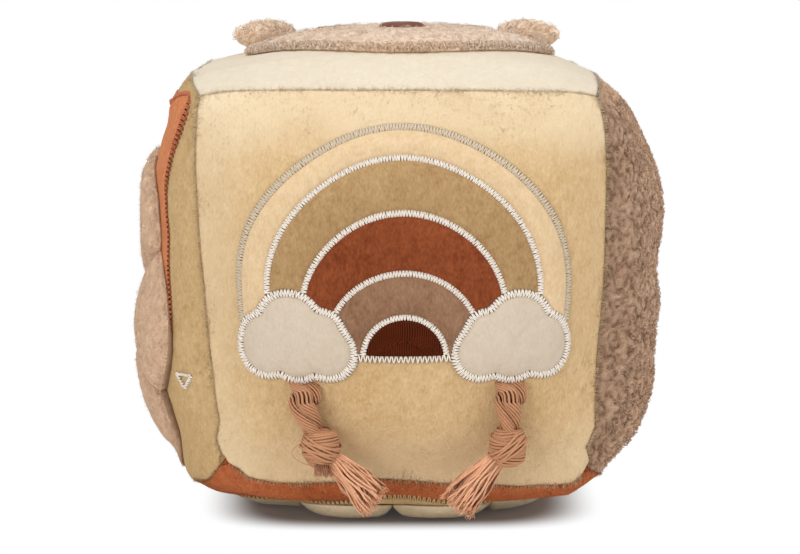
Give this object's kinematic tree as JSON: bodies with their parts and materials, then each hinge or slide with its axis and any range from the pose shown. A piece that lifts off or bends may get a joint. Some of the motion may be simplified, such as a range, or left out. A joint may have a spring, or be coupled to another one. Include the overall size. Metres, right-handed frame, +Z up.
{
  "type": "soft fabric activity block",
  "caption": "Stuffed plush activity block for a baby, with sewn rainbow, bear face, flowers, knotted rope tassels and soft ears.",
  "frame": {"origin": "middle of the flat under the block's daisy centre, on the surface it stands on", "axes": "+Z up, -Y out of the rainbow panel, +X to the right of someone who faces the rainbow"},
  "size_m": [0.1497, 0.1439, 0.1366],
  "materials": {
    "front_plush": "short brushed plush pile",
    "khaki_plush": "short brushed plush pile",
    "brown_terry": "curled terry pile",
    "cream_plush": "short brushed plush pile",
    "terracotta_plush": "short brushed plush pile",
    "fibre_fill": "loose polyester fibre",
    "rattle_shell": "satin moulded plastic",
    "pale_plush": "short brushed plush pile",
    "taupe_plush": "short brushed plush pile",
    "dark_thread": "embroidery thread, slight sheen",
    "cloud_plush": "short brushed plush pile",
    "cream_thread": "embroidery thread, slight sheen",
    "brown_thread": "embroidery thread, slight sheen",
    "face_terry": "curled terry pile",
    "ear_terry": "curled terry pile",
    "tassel_cotton": "twisted cotton yarn"
  },
  "bodies": {
    "block": {"front_panel": "front_plush", "back_panel": "khaki_plush", "left_panel": "khaki_plush", "right_panel": "brown_terry", "top_panel": "cream_plush", "bottom_panel": "terracotta_plush", "filling_upper": "fibre_fill", "filling_lower": "fibre_fill", "rattle_cup_lower": "rattle_shell", "rattle_cup_upper": "rattle_shell", "rainbow_band_pale": "pale_plush", "rainbow_band_khaki": "khaki_plush", "rainbow_band_terracotta": "terracotta_plush", "rainbow_band_taupe": "taupe_plush", "rainbow_middle": "dark_thread", "rainbow_stitch_1": "cream_thread", "rainbow_stitch_2": "cream_thread", "rainbow_stitch_3": "cream_thread", "rainbow_stitch_4": "cream_thread", "rainbow_stitch_5": "cream_thread", "rainbow_stitch_base": "cream_thread", "cloud_left": "cloud_plush", "cloud_stitch_left": "cream_thread", "cloud_right": "cloud_plush", "cloud_stitch_right": "cream_thread", "bear_face": "face_terry", "bear_nose": "brown_thread", "bear_eye_left": "brown_thread", "bear_eye_right": "brown_thread", "sun_patch": "terracotta_plush", "sun_stitch": "brown_thread", "flower_petal_1": "brown_terry", "flower_petal_2": "brown_terry", "flower_petal_3": "brown_terry", "flower_petal_4": "brown_terry", "flower_petal_5": "brown_terry", "flower_petal_6": "brown_terry", "flower_centre": "ear_terry", "stitched_triangle": "cream_thread", "tuft_stitch": "brown_thread", "daisy_disc": "khaki_plush", "daisy_disc_stitch": "brown_thread", "daisy_petal_1": "cream_plush", "daisy_petal_2": "cream_plush", "daisy_petal_3": "cream_plush", "daisy_petal_4": "cream_plush", "daisy_petal_5": "cream_plush", "daisy_petal_6": "cream_plush", "daisy_petal_7": "cream_plush", "daisy_petal_8": "cream_plush", "daisy_centre": "khaki_plush"},
    "tassel_left_rope": {"tassel_rope_left": "tassel_cotton"},
    "tassel_left_end": {"tassel_knot_left": "tassel_cotton", "tassel_skirt_left": "tassel_cotton"},
    "tassel_right_rope": {"tassel_rope_right": "tassel_cotton"},
    "tassel_right_end": {"tassel_knot_right": "tassel_cotton", "tassel_skirt_right": "tassel_cotton"},
    "left_ear": {"ear_left": "ear_terry"},
    "right_ear": {"ear_right": "ear_terry"},
    "ball": {"rattle_ball": "rattle_shell"}
  },
  "joints": [
    {"name": "tassel_left_lift", "type": "hinge", "parent": "block", "child": "tassel_left_rope", "pos_m": [-0.0266, -0.06895, 0.041], "axis": [-1, 0, 0], "range_deg": [0, 100]},
    {"name": "tassel_left_sway", "type": "hinge", "parent": "tassel_left_rope", "child": "tassel_left_end", "pos_m": [-0.0223, -0.06895, 0.0284], "axis": [0, 1, 0], "range_deg": [-20, 70], "stiffness_Nm_per_rad": 0.0008},
    {"name": "tassel_right_lift", "type": "hinge", "parent": "block", "child": "tassel_right_rope", "pos_m": [0.0279, -0.06895, 0.041], "axis": [-1, 0, 0], "range_deg": [0, 100]},
    {"name": "tassel_right_sway", "type": "hinge", "parent": "tassel_right_rope", "child": "tassel_right_end", "pos_m": [0.0274, -0.06895, 0.0284], "axis": [0, -1, 0], "range_deg": [-20, 70], "stiffness_Nm_per_rad": 0.0008},
    {"name": "left_ear_fold", "type": "hinge", "parent": "block", "child": "left_ear", "pos_m": [-0.0385, 0.024, 0.1315], "axis": [-0.788, -0.6157, 0], "range_deg": [-15, 55], "stiffness_Nm_per_rad": 0.0002},
    {"name": "right_ear_fold", "type": "hinge", "parent": "block", "child": "right_ear", "pos_m": [0.0385, 0.024, 0.1315], "axis": [-0.788, 0.6157, 0], "range_deg": [-15, 55], "stiffness_Nm_per_rad": 0.0002},
    {"name": "ball_hop", "type": "slide", "parent": "block", "child": "ball", "axis": [0, 0, 1], "range_m": [0, 0.0082]}
  ]
}
